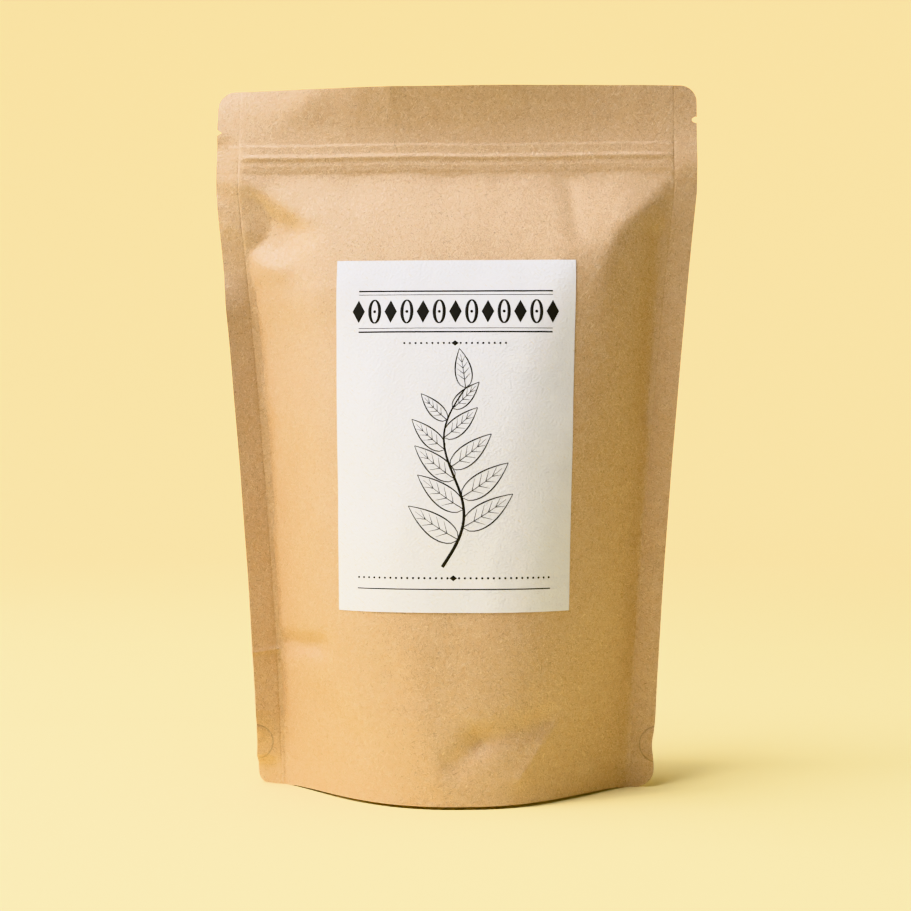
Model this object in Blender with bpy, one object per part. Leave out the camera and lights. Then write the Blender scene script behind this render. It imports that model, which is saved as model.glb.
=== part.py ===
"""A filled stand-up pouch of kraft paper, shut, with a paper label on its front.

The pouch stands on z = 0 with its middle at x = 0 and y = 0. The labelled front
faces -Y. Its two panels meet in a flat seal down each side and in a flat flap
above the zip, and a gusset is folded up between them at the bottom.
"""

import math

import bmesh
import bpy

# The flat pouch, in metres
POUCH_HALF_WIDTH = 0.115
POUCH_HEIGHT = 0.334
SEAL_WIDTH = 0.0115
SEAL_THICKNESS = 0.0006
TOP_CORNER_RADIUS = 0.008
BOTTOM_CORNER_RADIUS = 0.009

# The zip across the top, and its two plastic tapes
ZIP_HEIGHT = 0.3005
ZIP_RIDGE_HALF = 0.0016
ZIP_RIDGE_RELIEF = 0.0014
TAPE_BELOW = 0.0068
TAPE_ABOVE = 0.0062
TAPE_RELIEF = 0.0006
TAPE_STEP = 0.0008

# The filling pushes each panel out by up to this depth, from the zip downwards
PANEL_DEPTH = 0.062
DEPTH_LENGTH = 0.108
SIDE_DRAW_IN = 0.0204
DRAW_IN_START = 0.010
DRAW_IN_LENGTH = 0.275
DRAW_IN_POWER = 1.35
CORNER_SLOPE = 0.43
CORNER_LENGTH = 0.030
CORNER_STEEPENING = 6.0
SECTION_POWER = 2.75
SECTION_TAPER = 0.12
TAPER_START = 0.050
TAPER_END = 0.150
SHOULDER_POWER = 5.2
SHOULDER_LENGTH = 0.045
SHOULDER_FADE = 1.3
HEM_POWER = 0.35
HEM_TAPER = 0.28
HEM_LENGTH = 0.085
RIDGE_SOFTNESS = 0.005
HOLLOW_MARGIN = 0.012

# The flap bows forward above the zip in a slight wave, and the left seal bends forward
FLAP_BOW = 0.007
FLAP_WAVE = 0.0012
FLAP_WAVE_LENGTH = 0.110
LEFT_SEAL_SLOPE = 0.40
RIGHT_SEAL_SLOPE = 0.10
SEAL_BEND_LOW = 0.012
SEAL_BEND_HIGH = 0.250
SEAL_BEND_EASE = 0.025

# The gusset: where it is welded to the panels, and where its fold runs
WALL = 0.0010
WELD_LOW = 0.007
GUSSET_HEIGHT = 0.060
WELD_POWER = 4.5
BELLY_HALF_LENGTH = 0.064
BELLY_HALF_DEPTH = 0.046
BELLY_MOST_OF_SKIRT = 0.8
BELLY_LEAST_OF_SKIRT = 0.1
FOLD_START = 0.060
HEM_LIFT = 0.0010
HEM_HALF_LENGTH = 0.086
HEM_DIP = 0.0002
GUSSET_HALF_LENGTH = 0.078
FLOOR_CLEARANCE = 0.001
CUTTER_MARGIN = 0.004
CUTTER_COLUMNS = 36
SKIRT_STEPS = 6

# The gusset's film from the weld in to the belly: shares of the way, and its rise
GUSSET_SHARES = (0.6, 0.25, 0.0)
GUSSET_RISE_POWER = 1.4
BELLY_INNER_SHARE = 0.5

# Tear notches in the side seals, above the zip: a sharp one and a round one
LEFT_NOTCH_HEIGHT = 0.3134
LEFT_NOTCH_SIDES = 4
RIGHT_NOTCH_HEIGHT = 0.3177
RIGHT_NOTCH_SIDES = 12
NOTCH_DEPTH = 0.0024
NOTCH_HALF_HEIGHT = 0.0015
NOTCH_CUTTER_LENGTH = 0.030

# The label: a flat sheet laid on the front panel
LABEL_WIDTH = 0.1115
LABEL_LENGTH = 0.165
LABEL_TOP = 0.249
LABEL_THICKNESS = 0.0003
LABEL_GAP = 0.0003
LABEL_MIDDLE = 0.0013
LABEL_HALF_COLUMNS = 9
LABEL_ROWS = 24
LABEL_FINE_STEPS = 20

# Steps of the pouch's sheets, with the panel's and the seal's columns on each side
PANEL_COLUMNS = 16
SEAL_COLUMNS = 2
CORNER_ROWS = 4
BODY_ROWS = 38
FLAP_ROWS = 4

# Hollows in the panels: middle x and z, half width, half height, depth
FRONT_HOLLOWS = [
    (-0.093, 0.268, 0.013, 0.012, 0.0042),
    (-0.074, 0.070, 0.012, 0.006, 0.0016),
    (0.012, 0.036, 0.020, 0.011, 0.0034),
    (0.094, 0.215, 0.008, 0.040, 0.0020),
]
BACK_HOLLOWS = [
    (0.086, 0.262, 0.014, 0.012, 0.0040),
    (-0.030, 0.210, 0.040, 0.020, 0.0016),
    (0.020, 0.055, 0.030, 0.012, 0.0028),
    (-0.080, 0.085, 0.012, 0.018, 0.0022),
]

KRAFT_BROWN = (0.56, 0.34, 0.16, 1.0)
KRAFT_ROUGHNESS = 0.75
LABEL_WHITE = (0.80, 0.76, 0.70, 1.0)
LABEL_ROUGHNESS = 0.7
SHARP_ANGLE = math.radians(35.0)


def clamp(value):
    """The value held between 0 and 1."""
    return min(max(value, 0.0), 1.0)


def ease(low, high, value):
    """A smooth step from 0 at low to 1 at high."""
    t = clamp((value - low) / (high - low))
    return t * t * (3.0 - 2.0 * t)


def soft_min(a, b, softness):
    """The lesser of two depths, rounded where they cross."""
    near = max(softness - abs(a - b), 0.0) / softness
    return min(a, b) - near * near * softness / 4.0


def below_zip(z):
    """The distance down from the lower edge of the zip's tape."""
    return max(ZIP_HEIGHT - TAPE_BELOW - z, 0.0)


def side_half(z):
    """Half the pouch's width: the sides draw in as the filling pushes the panels out."""
    t = clamp((below_zip(z) - DRAW_IN_START) / DRAW_IN_LENGTH)
    return POUCH_HALF_WIDTH - SIDE_DRAW_IN * (1.0 - (1.0 - t) ** DRAW_IN_POWER)


def seal_inner(z):
    """Half the width between the side seals."""
    return side_half(z) - SEAL_WIDTH


def outline_half(z):
    """Half the width of the outline, with its round corners."""
    from_top = POUCH_HEIGHT - z
    for distance, radius in ((z, BOTTOM_CORNER_RADIUS), (from_top, TOP_CORNER_RADIUS)):
        if distance < radius:
            rise = radius - max(distance, 0.0)
            return side_half(z) - radius + math.sqrt(radius * radius - rise * rise)
    return side_half(z)


def hollow_depth(x, z, hollows):
    """How far the hollows of one panel push it in."""
    total = 0.0
    for middle_x, middle_z, half_width, half_height, depth in hollows:
        across = (x - middle_x) / half_width
        along = (z - middle_z) / half_height
        total += depth * math.exp(-across * across - along * along)
    return total


def panel_bulge(x, z, hollows):
    """How far a panel stands out from the seals at a point."""
    down = below_zip(z)
    inner = seal_inner(z)
    from_seal = inner - abs(x)
    if down <= 0.0 or from_seal <= 0.0:
        return 0.0
    middle = PANEL_DEPTH * (1.0 - math.exp(-down / DEPTH_LENGTH))
    hem = 1.0 - ease(0.0, HEM_LENGTH, z)
    shoulder = math.exp(-((down / SHOULDER_LENGTH) ** SHOULDER_FADE))
    power = SECTION_POWER + SHOULDER_POWER * shoulder - HEM_POWER * hem
    taper = 1.0 + SECTION_TAPER * ease(TAPER_START, TAPER_END, down) + HEM_TAPER * hem
    section = middle * (1.0 - (abs(x) / inner) ** power) ** taper
    steepening = CORNER_STEEPENING * max(down - CORNER_LENGTH, 0.0)
    corner = (CORNER_SLOPE + steepening) * from_seal
    full = soft_min(section, corner, RIDGE_SOFTNESS)
    room = ease(0.0, HOLLOW_MARGIN, min(from_seal, down))
    return max(full - room * hollow_depth(x, z, hollows), 0.0)


def zip_relief(x, z):
    """The zip's tape and its ridge, pressed flat inside the side seals."""
    if abs(x) > seal_inner(z):
        return 0.0
    up = z - ZIP_HEIGHT
    tape = 1.0 if -TAPE_BELOW <= up <= TAPE_ABOVE else 0.0
    ridge = clamp(1.0 - abs(up) / ZIP_RIDGE_HALF)
    return TAPE_RELIEF * tape + ZIP_RIDGE_RELIEF * ridge


def middle_sheet(x, z):
    """How far the middle of the seals and of the flap lies from y = 0."""
    bow = FLAP_BOW * (1.0 - (x / POUCH_HALF_WIDTH) ** 2)
    wave = FLAP_WAVE * math.sin(2.0 * math.pi * x / FLAP_WAVE_LENGTH)
    flap = (bow + wave) * ease(ZIP_HEIGHT, POUCH_HEIGHT, z)
    past_seal = max(abs(x) - seal_inner(z), 0.0)
    low = ease(SEAL_BEND_LOW, SEAL_BEND_LOW + SEAL_BEND_EASE, z)
    high = ease(SEAL_BEND_HIGH, SEAL_BEND_HIGH - SEAL_BEND_EASE, z)
    slope = LEFT_SEAL_SLOPE if x < 0.0 else RIGHT_SEAL_SLOPE
    return -flap - slope * past_seal * low * high


def front_y(x, z):
    """The outside of the front panel."""
    out = panel_bulge(x, z, FRONT_HOLLOWS) + zip_relief(x, z)
    return middle_sheet(x, z) - SEAL_THICKNESS / 2.0 - out


def back_y(x, z):
    """The outside of the back panel."""
    out = panel_bulge(x, z, BACK_HOLLOWS) + zip_relief(x, z)
    return middle_sheet(x, z) + SEAL_THICKNESS / 2.0 + out


def row_heights():
    """The heights of the sheets' rows, close together in the round corners and at the zip."""
    zip_rows = [-TAPE_BELOW - TAPE_STEP, -TAPE_BELOW, -ZIP_RIDGE_HALF, 0.0]
    zip_rows += [ZIP_RIDGE_HALF, TAPE_ABOVE, TAPE_ABOVE + TAPE_STEP]
    zip_heights = [ZIP_HEIGHT + up for up in zip_rows]
    heights = []
    for row in range(CORNER_ROWS):
        angle = 0.5 * math.pi * row / CORNER_ROWS
        heights.append(BOTTOM_CORNER_RADIUS * (1.0 - math.cos(angle)))
    for row in range(BODY_ROWS):
        share = row / BODY_ROWS
        heights.append(BOTTOM_CORNER_RADIUS + share * (zip_heights[0] - BOTTOM_CORNER_RADIUS))
    heights += zip_heights
    corner_start = POUCH_HEIGHT - TOP_CORNER_RADIUS
    for row in range(1, FLAP_ROWS):
        share = row / FLAP_ROWS
        heights.append(zip_heights[-1] + share * (corner_start - zip_heights[-1]))
    for row in range(CORNER_ROWS + 1):
        angle = 0.5 * math.pi * row / CORNER_ROWS
        heights.append(corner_start + TOP_CORNER_RADIUS * math.sin(angle))
    return heights


def across_sheet(u, z):
    """The x of a column: u runs from -1 to 1, with the seals in its last steps."""
    panel_share = PANEL_COLUMNS / (PANEL_COLUMNS + SEAL_COLUMNS)
    inner = seal_inner(z)
    if abs(u) <= panel_share:
        return u / panel_share * inner
    past = (abs(u) - panel_share) / (1.0 - panel_share)
    return math.copysign(inner + past * (outline_half(z) - inner), u)


def new_collection(name):
    """A collection in the scene."""
    collection = bpy.data.collections.new(name)
    bpy.context.scene.collection.children.link(collection)
    return collection


def new_material(name, colour, roughness):
    """A plain paper finish."""
    material = bpy.data.materials.new(name)
    material.use_nodes = True
    shader = material.node_tree.nodes["Principled BSDF"]
    shader.inputs["Base Color"].default_value = colour
    shader.inputs["Roughness"].default_value = roughness
    shader.inputs["Metallic"].default_value = 0.0
    return material


def new_object(name, bm, collection, material=None):
    """An object from a bmesh, with its faces turned outwards."""
    bm.normal_update()
    bmesh.ops.recalc_face_normals(bm, faces=bm.faces)
    mesh = bpy.data.meshes.new(name)
    bm.to_mesh(mesh)
    bm.free()
    if material:
        mesh.materials.append(material)
    thing = bpy.data.objects.new(name, mesh)
    collection.objects.link(thing)
    return thing


def double_sheet(columns, rows, place_near, place_far):
    """A closed solid: a grid extruded once, whose two sides are placed by two functions.

    Each function gets the shares across and along, from 0 to 1, and gives a point.
    """
    bm = bmesh.new()
    bmesh.ops.create_grid(bm, x_segments=columns, y_segments=rows, size=0.5)
    far = list(bm.verts)
    step = bmesh.ops.extrude_face_region(bm, geom=bm.faces[:], use_keep_orig=True)
    near = [item for item in step["geom"] if isinstance(item, bmesh.types.BMVert)]
    for verts, place in ((far, place_far), (near, place_near)):
        for vert in verts:
            vert.co = place(vert.co.x + 0.5, vert.co.y + 0.5)
    return bm


def make_pouch(collection, cutters, material):
    """The whole shut pouch as one solid: front and back, seals, zip and flap."""
    heights = row_heights()
    columns = 2 * (PANEL_COLUMNS + SEAL_COLUMNS)
    rows = len(heights) - 1

    def place(side_y):
        def point(across, along):
            z = heights[round(along * rows)]
            x = across_sheet(2.0 * across - 1.0, z)
            return (x, side_y(x, z), z)
        return point

    bm = double_sheet(columns, rows, place(front_y), place(back_y))
    pouch = new_object("pouch", bm, collection, material)
    cut = pouch.modifiers.new("gusset and notches", "BOOLEAN")
    cut.operation = "DIFFERENCE"
    cut.operand_type = "COLLECTION"
    cut.collection = cutters
    cut.solver = "EXACT"
    return pouch


def weld_height(x):
    """The height at which the gusset is welded to a panel."""
    share = abs(x) / seal_inner(0.0)
    return WELD_LOW + (GUSSET_HEIGHT - WELD_LOW) * share ** WELD_POWER


def fold_height(x):
    """The height of the gusset's middle: under the floor at the belly, up at the seals."""
    rise = ease(FOLD_START, seal_inner(0.0), abs(x))
    return -FLOOR_CLEARANCE + (GUSSET_HEIGHT + FLOOR_CLEARANCE) * rise


def gusset_section(x):
    """The hollow under the gusset at one x, from in front of the pouch to behind it."""
    hem = HEM_LIFT * max(1.0 - (x / HEM_HALF_LENGTH) ** 2, 0.0) ** 2 - HEM_DIP
    weld = weld_height(x)
    fold = fold_height(x)
    belly = BELLY_HALF_DEPTH * math.sqrt(max(1.0 - (x / BELLY_HALF_LENGTH) ** 2, 0.0))
    section = []
    for side_y, side in ((front_y, -1.0), (back_y, 1.0)):
        outside = side_y(x, 0.0)
        half = [(outside + side * CUTTER_MARGIN, hem)]
        for step in range(SKIRT_STEPS + 1):
            z = hem + (weld - hem) * step / SKIRT_STEPS
            half.append((side_y(x, max(z, 0.0)) - side * WALL, z))
        at_weld = half[-1][0]
        most = BELLY_MOST_OF_SKIRT * abs(at_weld)
        least = BELLY_LEAST_OF_SKIRT * abs(at_weld)
        edge = side * max(min(belly, most), least)
        for share in GUSSET_SHARES:
            rise = share ** GUSSET_RISE_POWER
            half.append((edge + share * (at_weld - edge), fold + rise * (weld - fold)))
        half.append((BELLY_INNER_SHARE * edge, fold))
        section += half if side < 0.0 else half[::-1]
    return section


def make_gusset_cutter(cutters):
    """The open hollow between the skirts, under the gusset."""
    sections = []
    for column in range(CUTTER_COLUMNS + 1):
        x = GUSSET_HALF_LENGTH * math.sin(math.pi * (column / CUTTER_COLUMNS - 0.5))
        sections.append((x, gusset_section(x)))
    rows = len(sections[0][1]) - 1

    def roof(across, along):
        x, section = sections[round(across * CUTTER_COLUMNS)]
        y, z = section[round(along * rows)]
        return (x, y, z)

    def under(across, along):
        x, y, z = roof(across, along)
        return (x, y, -CUTTER_MARGIN)

    bm = double_sheet(CUTTER_COLUMNS, rows, roof, under)
    return new_object("gusset_cutter", bm, cutters)


def make_notch_cutter(cutters, name, side, height, sides):
    """A prism that cuts a tear notch into the edge of one side seal."""
    bm = bmesh.new()
    bmesh.ops.create_cone(
        bm,
        cap_ends=True,
        segments=sides,
        radius1=NOTCH_DEPTH,
        radius2=NOTCH_DEPTH,
        depth=NOTCH_CUTTER_LENGTH,
    )
    for vert in bm.verts:
        across, along, through = vert.co
        x = side * (POUCH_HALF_WIDTH - along)
        vert.co = (x, through, height + across * NOTCH_HALF_HEIGHT / NOTCH_DEPTH)
    return new_object(name, bm, cutters)


def label_centre_line():
    """The heights of the label's rows, equal steps apart along the front panel."""
    step = LABEL_LENGTH / (LABEL_ROWS * LABEL_FINE_STEPS)
    heights = [LABEL_TOP]
    z = LABEL_TOP
    for _ in range(LABEL_ROWS):
        for _ in range(LABEL_FINE_STEPS):
            rise = front_y(0.0, z) - front_y(0.0, z - step)
            z -= step / math.sqrt(1.0 + (rise / step) ** 2)
        heights.append(z)
    return heights[::-1]


def label_row(z):
    """The x of the columns from left to right, equal steps apart along the panel."""
    places = []
    for side in (-1.0, 1.0):
        step = side * 0.5 * LABEL_WIDTH / (LABEL_HALF_COLUMNS * LABEL_FINE_STEPS)
        x = LABEL_MIDDLE
        half = [x]
        for _ in range(LABEL_HALF_COLUMNS):
            for _ in range(LABEL_FINE_STEPS):
                rise = front_y(x + step, z) - front_y(x, z)
                x += step / math.sqrt(1.0 + (rise / step) ** 2)
            half.append(x)
        places += half[::-1] if side < 0.0 else half[1:]
    return places


def make_label(collection, material):
    """The label, a thin sheet that follows the front panel."""
    columns = 2 * LABEL_HALF_COLUMNS
    heights = label_centre_line()
    rows = [label_row(z) for z in heights]

    def place(out):
        def point(across, along):
            row = round(along * LABEL_ROWS)
            x = rows[row][round(across * columns)]
            return (x, front_y(x, heights[row]) - out, heights[row])
        return point

    outside, inside = place(LABEL_GAP + LABEL_THICKNESS), place(LABEL_GAP)
    bm = double_sheet(columns, LABEL_ROWS, outside, inside)
    return new_object("label", bm, collection, material)


def main():
    """Builds the pouch and its label."""
    for thing in list(bpy.data.objects):
        bpy.data.objects.remove(thing, do_unlink=True)
    collection = new_collection("stand_up_pouch")
    cutters = new_collection("cutters")

    make_gusset_cutter(cutters)
    notches = (
        ("left_notch_cutter", -1.0, LEFT_NOTCH_HEIGHT, LEFT_NOTCH_SIDES),
        ("right_notch_cutter", 1.0, RIGHT_NOTCH_HEIGHT, RIGHT_NOTCH_SIDES),
    )
    for name, side, height, sides in notches:
        make_notch_cutter(cutters, name, side, height, sides)
    for cutter in cutters.objects:
        cutter.hide_render = True
        cutter.display_type = "WIRE"

    kraft = new_material("kraft_paper", KRAFT_BROWN, KRAFT_ROUGHNESS)
    white = new_material("label_paper", LABEL_WHITE, LABEL_ROUGHNESS)
    pouch = make_pouch(collection, cutters, kraft)
    label = make_label(collection, white)
    for thing in (pouch, label):
        thing.data.shade_smooth()
        thing.data.set_sharp_from_angle(angle=SHARP_ANGLE)


main()
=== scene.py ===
# %% [markdown]
# # A filled stand-up pouch of kraft paper
#
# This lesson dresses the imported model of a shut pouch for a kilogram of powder. The
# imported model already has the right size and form, so each step here adds what a
# camera sees: the film's folds, the zip under the paper, the label and its print, and
# the finish of each paper. The pouch stands on z = 0 and its front faces -Y.

import math

import bmesh
import bpy
import numpy as np
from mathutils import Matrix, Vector


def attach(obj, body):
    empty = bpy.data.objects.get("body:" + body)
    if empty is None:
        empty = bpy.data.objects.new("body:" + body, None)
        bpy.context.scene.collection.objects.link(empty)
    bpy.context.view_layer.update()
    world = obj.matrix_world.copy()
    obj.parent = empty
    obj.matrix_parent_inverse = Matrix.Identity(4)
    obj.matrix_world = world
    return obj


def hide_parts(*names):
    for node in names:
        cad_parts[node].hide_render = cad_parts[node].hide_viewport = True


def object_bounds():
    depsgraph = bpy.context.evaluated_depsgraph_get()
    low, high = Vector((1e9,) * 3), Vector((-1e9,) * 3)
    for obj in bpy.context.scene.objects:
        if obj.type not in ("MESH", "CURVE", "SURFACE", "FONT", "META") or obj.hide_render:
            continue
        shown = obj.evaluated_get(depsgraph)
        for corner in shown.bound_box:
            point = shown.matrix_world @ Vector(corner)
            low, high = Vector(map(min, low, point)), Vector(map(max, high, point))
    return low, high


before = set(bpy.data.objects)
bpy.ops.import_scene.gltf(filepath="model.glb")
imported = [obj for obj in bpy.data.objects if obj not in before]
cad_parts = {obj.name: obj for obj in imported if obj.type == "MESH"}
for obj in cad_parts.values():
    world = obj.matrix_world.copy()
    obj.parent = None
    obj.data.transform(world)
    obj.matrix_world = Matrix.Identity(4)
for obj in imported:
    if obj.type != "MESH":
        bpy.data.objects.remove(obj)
cad_box = [list(corner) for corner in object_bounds()]
MM = 0.001

# %% [markdown]
# ## The camera
#
# The photograph was taken from straight in front, with the lens level and a little
# below the pouch's middle. A level camera keeps upright lines upright. It could also
# be aimed with a Track To constraint, but plain numbers are easier to check: the
# distance and the lens follow from how many pixels a millimetre covers.

# %% Place the camera
FRAME_PIXELS = 911
SENSOR_WIDTH_MM = 36.0
PIXELS_PER_MM = 2.087
CAMERA_DISTANCE = 0.830
CAMERA_HEIGHT = 0.158
CAMERA_TURN = math.radians(2.5)

camera_data = bpy.data.cameras.new("camera")
camera_data.sensor_width = SENSOR_WIDTH_MM
camera_data.lens = SENSOR_WIDTH_MM * PIXELS_PER_MM * CAMERA_DISTANCE / MM / FRAME_PIXELS
camera_data.clip_end = 20.0
camera = bpy.data.objects.new("camera", camera_data)
camera.location = (
    CAMERA_DISTANCE * math.sin(CAMERA_TURN),
    -CAMERA_DISTANCE * math.cos(CAMERA_TURN),
    CAMERA_HEIGHT,
)
camera.rotation_euler = (math.radians(90.0), 0.0, CAMERA_TURN)
bpy.context.scene.collection.objects.link(camera)
bpy.context.scene.camera = camera
print("lens in mm:", round(camera_data.lens, 2))

# %% [markdown]
# ## Helpers for materials and meshes
#
# Colours are written as the hex values that a screen shows, and one function turns
# them into the linear values that the shader wants. One small function adds a node,
# sets it up and links it, so that a material reads as a list of what it does.

# %% Colour and node helpers
def linear(hex_colour):
    """The linear RGBA of an sRGB hex colour."""
    channels = [int(hex_colour[at:at + 2], 16) / 255.0 for at in (0, 2, 4)]
    light = [c / 12.92 if c <= 0.04045 else ((c + 0.055) / 1.055) ** 2.4 for c in channels]
    return (*light, 1.0)


def per_mm(size_mm):
    """The texture scale, per metre, of a pattern whose grain has this size."""
    return 1.0 / (size_mm * MM)


def add_node(material, kind, links=None, **settings):
    """A node with its sockets' values, its links and its own settings.

    A key of links is a socket's name or number, and its value is a number, a tuple
    or another node's output socket. The settings are the node's own properties.
    """
    tree = material.node_tree
    node = tree.nodes.new(kind)
    for name, value in settings.items():
        setattr(node, name, value)
    for key, value in (links or {}).items():
        if isinstance(value, bpy.types.NodeSocket):
            tree.links.new(value, node.inputs[key])
        else:
            node.inputs[key].default_value = value
    return node


def new_material(name, **values):
    """A material, its Principled shader with these socket values, and object places."""
    material = bpy.data.materials.new(name)
    material.use_nodes = True
    shader = material.node_tree.nodes["Principled BSDF"]
    for socket, value in values.items():
        shader.inputs[socket.replace("_", " ")].default_value = value
    places = add_node(material, "ShaderNodeTexCoord").outputs["Object"]
    return material, shader, places


def connect(material, source, shader, socket):
    """Links a node's output to one of the shader's sockets."""
    material.node_tree.links.new(source, shader.inputs[socket])


# %% Mesh helpers
SHARP_ANGLE = math.radians(40.0)


def ease(low, high, value):
    """A smooth step from 0 at low to 1 at high, for numbers or arrays."""
    t = np.clip((value - low) / (high - low), 0.0, 1.0)
    return t * t * (3.0 - 2.0 * t)


def finish_piece(name, bm, material, replaced=()):
    """An object from a bmesh, riding on the pouch and wearing its material."""
    mesh = bpy.data.meshes.new(name)
    bm.to_mesh(mesh)
    bm.free()
    mesh.materials.append(material)
    mesh.shade_smooth()
    piece = bpy.data.objects.new(name, mesh)
    bpy.context.scene.collection.objects.link(piece)
    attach(piece, "root")
    if replaced:
        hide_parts(*replaced)
    print(name, "faces:", len(mesh.polygons))
    return piece


def add_double_sheet(bm, columns, rows, place_near, place_far):
    """Adds a closed solid: a grid extruded once, whose sides are placed by functions.

    Each function gets two arrays, the column and row numbers, and gives three arrays.
    """
    grid = bmesh.ops.create_grid(bm, x_segments=columns, y_segments=rows, size=0.5)
    far = grid["verts"]
    faces = list({face for vert in far for face in vert.link_faces})
    step = bmesh.ops.extrude_face_region(bm, geom=faces, use_keep_orig=True)
    near = [item for item in step["geom"] if isinstance(item, bmesh.types.BMVert)]
    for verts, place in ((far, place_far), (near, place_near)):
        flat = np.array([vert.co[:2] for vert in verts]) + 0.5
        column = np.rint(flat[:, 0] * columns).astype(int)
        row = np.rint(flat[:, 1] * rows).astype(int)
        for vert, point in zip(verts, np.column_stack(place(column, row))):
            vert.co = point


def turn_outwards(bm):
    """Turns the faces of closed solids so that they point out."""
    bm.normal_update()
    bmesh.ops.recalc_face_normals(bm, faces=bm.faces)
    return bm


def double_sheet(columns, rows, place_near, place_far):
    """One such solid in a bmesh of its own."""
    bm = bmesh.new()
    add_double_sheet(bm, columns, rows, place_near, place_far)
    return turn_outwards(bm)


# %% [markdown]
# ## The form of the filled pouch
#
# A stand-up pouch is two flat films sealed down both sides and folded in at the
# bottom. The filling pushes the films apart, so the sides draw in while the middle
# bulges, and the top stays flat above the zip. The form could be found with a cloth
# simulation under pressure. Formulas were chosen here instead, the same ones as the
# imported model's, because each measure can then be set against the real pouch.

# %% The outline of the flat film
HALF_WIDTH = cad_box[1][0]
HEIGHT = cad_box[1][2]
SEAL_WIDTH = 11.5 * MM
SEAL_THICKNESS = 0.6 * MM
TOP_CORNER = 8.0 * MM
BOTTOM_CORNER = 9.0 * MM
ZIP_HEIGHT = 300.5 * MM
TAPE_BELOW = 6.8 * MM
TAPE_ABOVE = 6.2 * MM
SIDE_DRAW_IN = 20.4 * MM
PUNCH_HEIGHT = 20.5 * MM
PUNCH_RADIUS = 8.6 * MM
PUNCH_OUTSIDE = 1.5 * MM
PUNCH_TUCK = 1.1 * MM
LEFT_PUNCH_SHARE = 0.1
LEFT_CORNER_SHARE = 0.62
LEFT_FOOT_SPREAD = 1.0 * MM


def below_zip(z):
    """The distance down from the lower edge of the zip's tape."""
    return np.maximum(ZIP_HEIGHT - TAPE_BELOW - z, 0.0)


def side_half(z):
    """Half the pouch's width, which draws in as the filling pushes the panels out."""
    t = np.clip((below_zip(z) - 10.0 * MM) / (275.0 * MM), 0.0, 1.0)
    return HALF_WIDTH - SIDE_DRAW_IN * (1.0 - (1.0 - t) ** 1.35)


def seal_inner(z):
    """Half the width between the side seals."""
    return side_half(z) - SEAL_WIDTH


def outline_half(z, side):
    """Half the width of the outline on side -1 or 1, with its round corners.

    The left foot is turned back, so its corner is cut less and it spreads a little,
    which keeps its edge straight to the eye. The punches draw the seals in, mostly on
    the right.
    """
    low = np.clip(BOTTOM_CORNER - z, 0.0, BOTTOM_CORNER)
    high = np.clip(z - HEIGHT + TOP_CORNER, 0.0, TOP_CORNER)
    cut_low = BOTTOM_CORNER - np.sqrt(BOTTOM_CORNER ** 2 - low ** 2)
    cut_high = TOP_CORNER - np.sqrt(TOP_CORNER ** 2 - high ** 2)
    drawn_in = PUNCH_TUCK * np.exp(-(((z - PUNCH_HEIGHT) / (0.8 * PUNCH_RADIUS)) ** 2))
    turned_corner = LEFT_CORNER_SHARE * cut_low * (cut_low / BOTTOM_CORNER) ** 0.6
    spread = LEFT_FOOT_SPREAD * (1.0 - ease(8.0 * MM, 32.0 * MM, z))
    half = side_half(z) - np.where(side < 0.0, turned_corner - spread, cut_low) - cut_high
    return half - drawn_in * np.where(side < 0.0, LEFT_PUNCH_SHARE, 1.0)


print("width at the zip and at the foot:", 2.0 * side_half(ZIP_HEIGHT), 2.0 * side_half(0.0))

# %% [markdown]
# ## How far a panel stands out
#
# Just below the zip the panel is like a hip roof: a ramp down from the zip and a ramp
# in from each side seal meet along a slanting ridge. Lower down the section turns
# into a round arch. The lesser of the two ramps, softened where they cross, gives
# both. On the right the ridge is crisp, as film that was creased there keeps an edge.

# %% The bulge of one panel
# The pairs are for the left and the right half of the pouch.
PANEL_DEPTH = 62.0 * MM
DEPTH_LENGTH = 100.0 * MM
SOFT_START = 6.0 * MM
SQUARENESS = (5.2, 30.0)
SQUARE_REACH = (45.0 * MM, 26.0 * MM)
CORNER_SLOPES = (0.43, 0.54)
CORNER_SOFTNESS = (5.0 * MM, 1.5 * MM)


def by_half(x, pair):
    """The first of a pair left of the middle, and the second elsewhere."""
    return np.where(x < 0.0, *pair)


def soft_min(a, b, softness):
    """The lesser of two depths, rounded where they cross."""
    near = np.maximum(softness - np.abs(a - b), 0.0) / softness
    return np.minimum(a, b) - near * near * softness / 4.0


def panel_bulge(x, z):
    """How far a smooth panel stands out from the seals."""
    down = below_zip(z)
    inner = seal_inner(z)
    from_seal = np.maximum(inner - np.abs(x), 0.0)
    started = down - SOFT_START * (1.0 - np.exp(-down / SOFT_START))
    middle = PANEL_DEPTH * (1.0 - np.exp(-started / DEPTH_LENGTH))
    hem = 1.0 - ease(0.0, 85.0 * MM, z)
    square = by_half(x, SQUARENESS) * np.exp(-((down / by_half(x, SQUARE_REACH)) ** 1.3))
    power = 2.75 + square - 0.35 * hem
    taper = 1.0 + 0.12 * ease(50.0 * MM, 150.0 * MM, down) + 0.28 * hem
    share = np.minimum(np.abs(x) / inner, 1.0)
    section = middle * (1.0 - share ** power) ** taper
    slope = by_half(x, CORNER_SLOPES) + 6.0 * np.maximum(down - 30.0 * MM, 0.0)
    corner = slope * from_seal
    return np.maximum(soft_min(section, corner, by_half(x, CORNER_SOFTNESS)), 0.0)


print("depth of the front panel at its foot:", float(panel_bulge(0.0, 0.0)))

# %% [markdown]
# ## Folds and dents
#
# Film that has been filled and handled keeps a few folds, and the ones in the
# photograph are what makes this pouch look real. Each fold is a short straight line
# with a width and a height, and its profile is either a soft swell or a sharp edge.
# Sculpting would be quicker for one picture, but a named list can be read and moved.

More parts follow.
